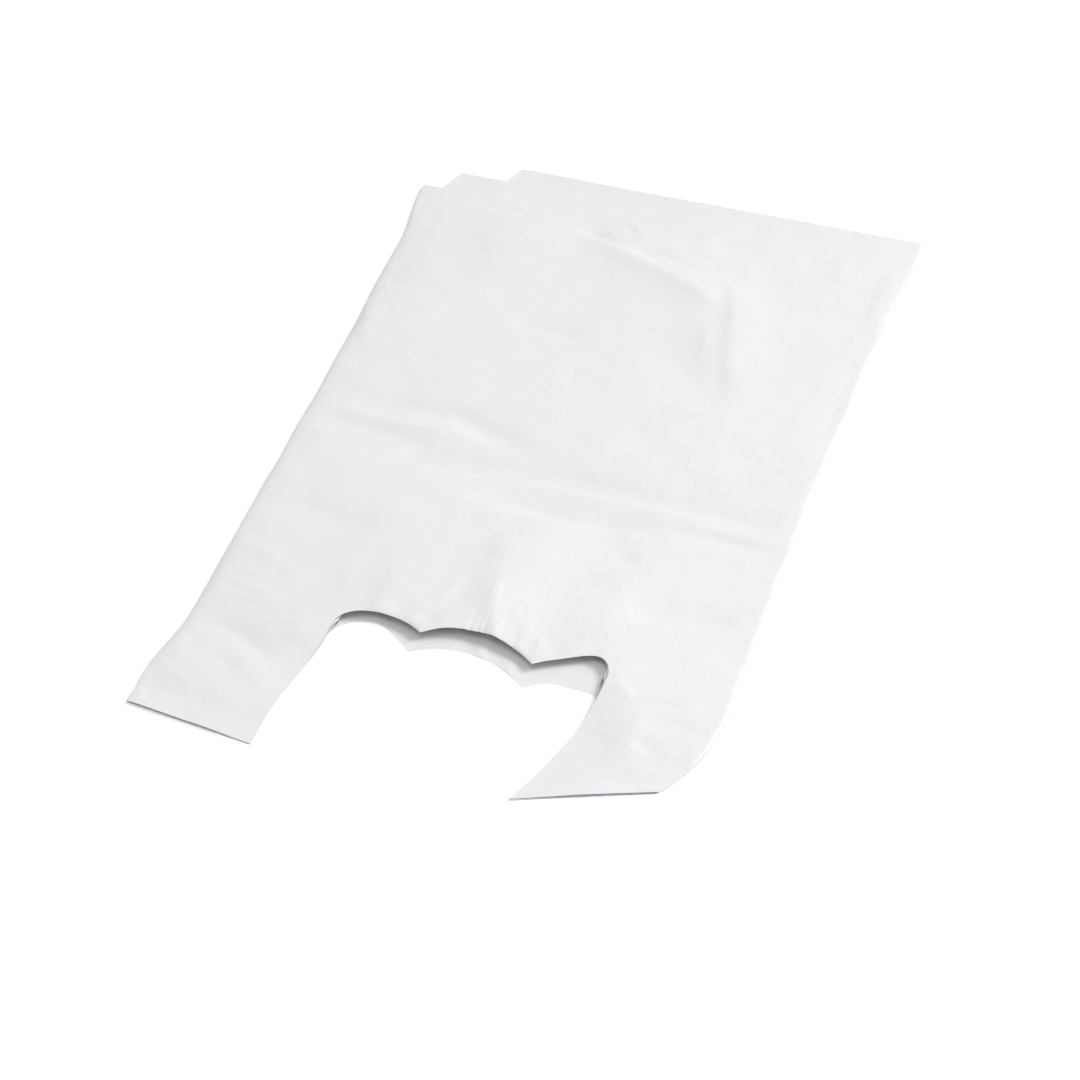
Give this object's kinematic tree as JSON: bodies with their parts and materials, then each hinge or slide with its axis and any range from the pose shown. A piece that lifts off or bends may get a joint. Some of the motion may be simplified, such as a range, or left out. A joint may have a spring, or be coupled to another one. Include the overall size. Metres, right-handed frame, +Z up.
{
  "type": "plastic carrier bag",
  "caption": "Thin white film carrier bag lying flat: side-pleated body, welded bottom, scalloped mouth and flat welded strap handles.",
  "frame": {"origin": "middle of the bag's outline, on the floor under it", "axes": "+Y along the bag from the handles to the bottom weld, +X across it, +Z up off the floor"},
  "size_m": [0.2872, 0.4912, 0.0139],
  "materials": {
    "white_film": "satin white polythene film"
  },
  "bodies": {
    "root": {"carrier_bag": "white_film"}
  },
  "joints": []
}
